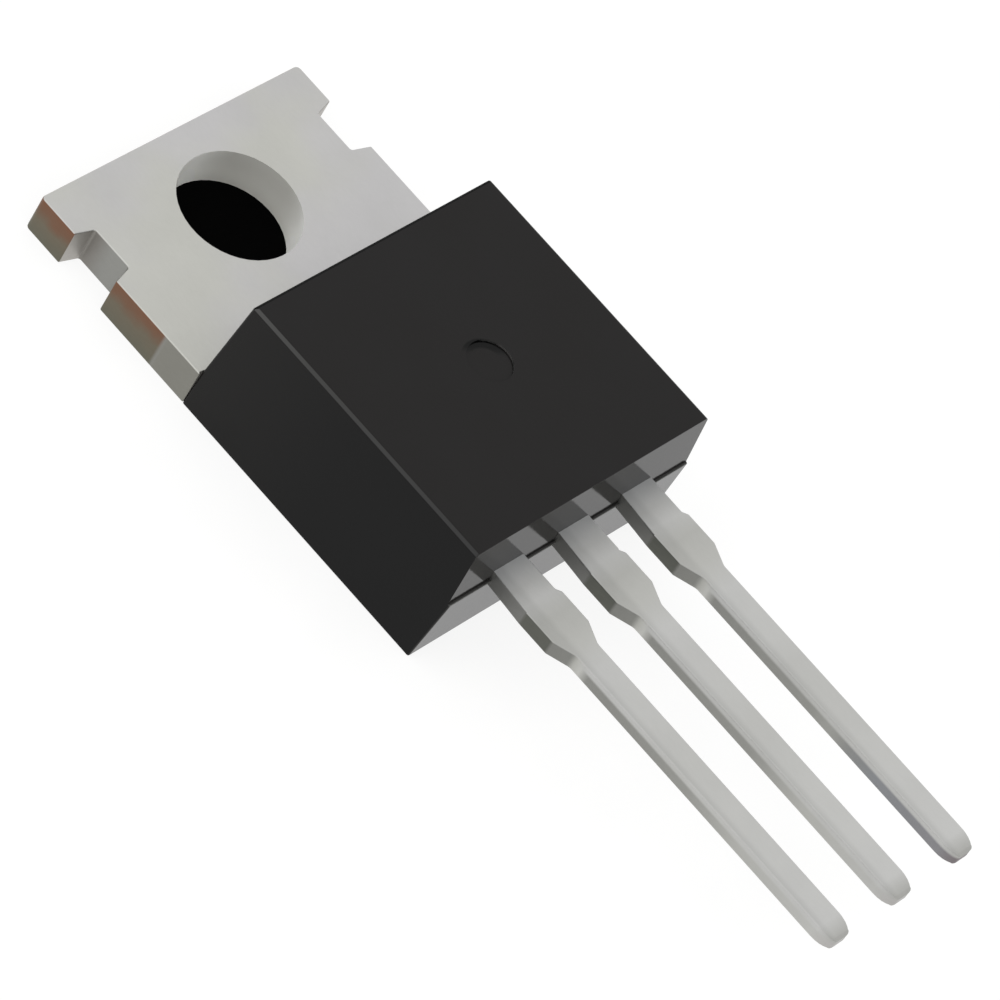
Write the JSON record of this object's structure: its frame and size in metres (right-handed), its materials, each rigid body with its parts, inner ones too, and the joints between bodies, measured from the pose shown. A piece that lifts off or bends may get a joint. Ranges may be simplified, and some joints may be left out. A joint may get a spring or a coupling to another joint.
{
  "type": "voltage regulator",
  "caption": "Flat black moulded regulator body with a drilled metal tab at one end and a row of flat leads at the other.",
  "frame": {"origin": "axis of the screw hole, on the metal back face", "axes": "+Z out of the front face, along the screw hole; +Y from the leads to the tab's top edge; +X to the right, seen from the front with the tab up"},
  "size_m": [0.0098, 0.0283, 0.0042],
  "materials": {
    "epoxy": "black moulding epoxy, satin",
    "tinned_copper": "dull tin over copper, bare copper at the cut ears",
    "silicon": "polished silicon",
    "solder": "soft solder",
    "bond_wire": "drawn aluminium"
  },
  "bodies": {
    "root": {"mould_body": "epoxy", "tab_frame": "tinned_copper", "adjust_lead": "tinned_copper", "output_lead": "tinned_copper", "die": "silicon", "solder_layer": "solder", "adjust_wire": "bond_wire", "input_wire": "bond_wire", "output_wire": "bond_wire"}
  },
  "joints": []
}
